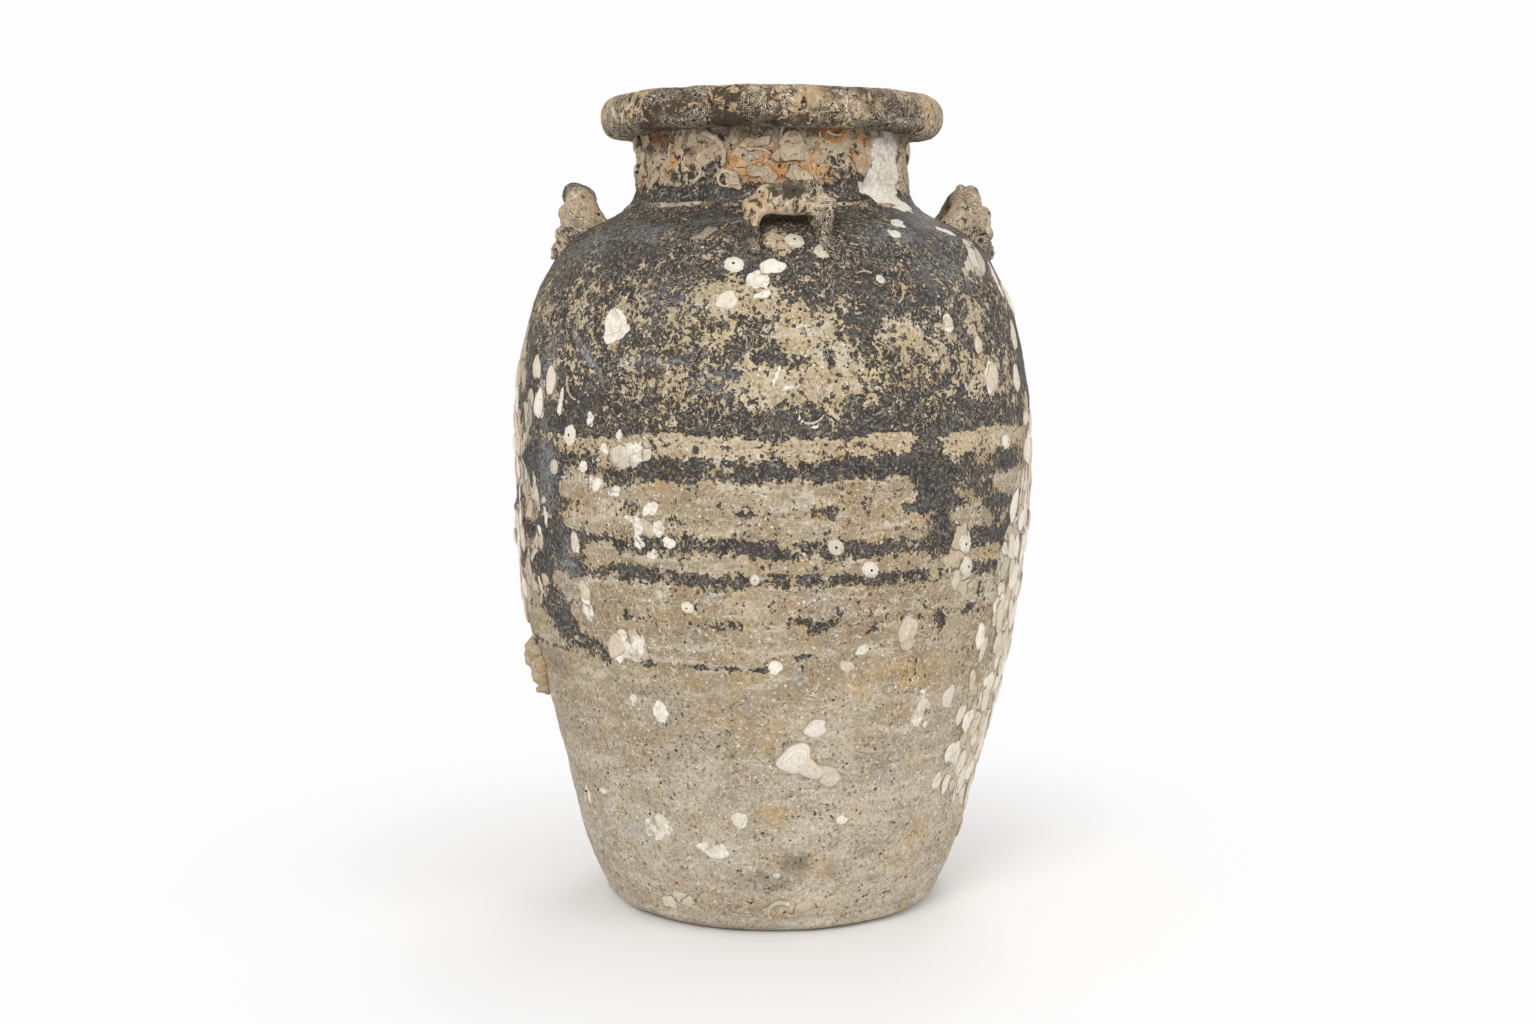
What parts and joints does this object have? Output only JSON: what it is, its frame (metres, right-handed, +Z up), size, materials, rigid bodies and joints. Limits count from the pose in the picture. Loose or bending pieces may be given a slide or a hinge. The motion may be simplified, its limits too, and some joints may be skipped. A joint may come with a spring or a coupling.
{
  "type": "storage jar",
  "caption": "Tall stoneware storage jar with a rolled rim, short neck and lugs on the shoulder, worn dark glaze over pale clay and sea growth on its wall.",
  "frame": {"origin": "middle of the flat underside, on the jar's axis, at the surface that it stands on", "axes": "+Z up along the jar's axis, -Y through the front lug, +X through the right lug"},
  "size_m": [0.3899, 0.3893, 0.6],
  "materials": {
    "base_clay": "unglazed fired clay",
    "lower_clay": "unglazed fired clay, stained and pitted",
    "belly_clay": "fired clay with worn bands of glaze",
    "dark_glaze": "matt, sea-worn dark glaze",
    "neck_clay": "fired clay, crusted and rust-stained",
    "rim_clay": "pitted, stained clay",
    "collar_clay": "worn clay",
    "lug_clay": "worn clay with dark pits",
    "oyster_shell": "weathered shell",
    "barnacle_shell": "weathered shell",
    "crust": "rough lime crust",
    "worm_tube": "rough lime tube"
  },
  "bodies": {
    "root": {"base_disc": "base_clay", "lower_wall": "lower_clay", "belly_wall": "belly_clay", "shoulder_wall": "dark_glaze", "neck_wall": "neck_clay", "rim_roll": "rim_clay", "collar_coil": "collar_clay", "lug_front": "lug_clay", "lug_right": "lug_clay", "lug_back": "lug_clay", "lug_left": "lug_clay", "oysters_right_flank": "oyster_shell", "oysters_left_flank": "oyster_shell", "oysters_back": "oyster_shell", "oysters_shoulder": "oyster_shell", "saddle_oysters": "oyster_shell", "acorn_barnacles": "barnacle_shell", "barnacle_lump": "barnacle_shell", "neck_crust": "crust", "worm_tubes_neck": "worm_tube", "worm_tubes_body": "worm_tube"}
  },
  "joints": []
}
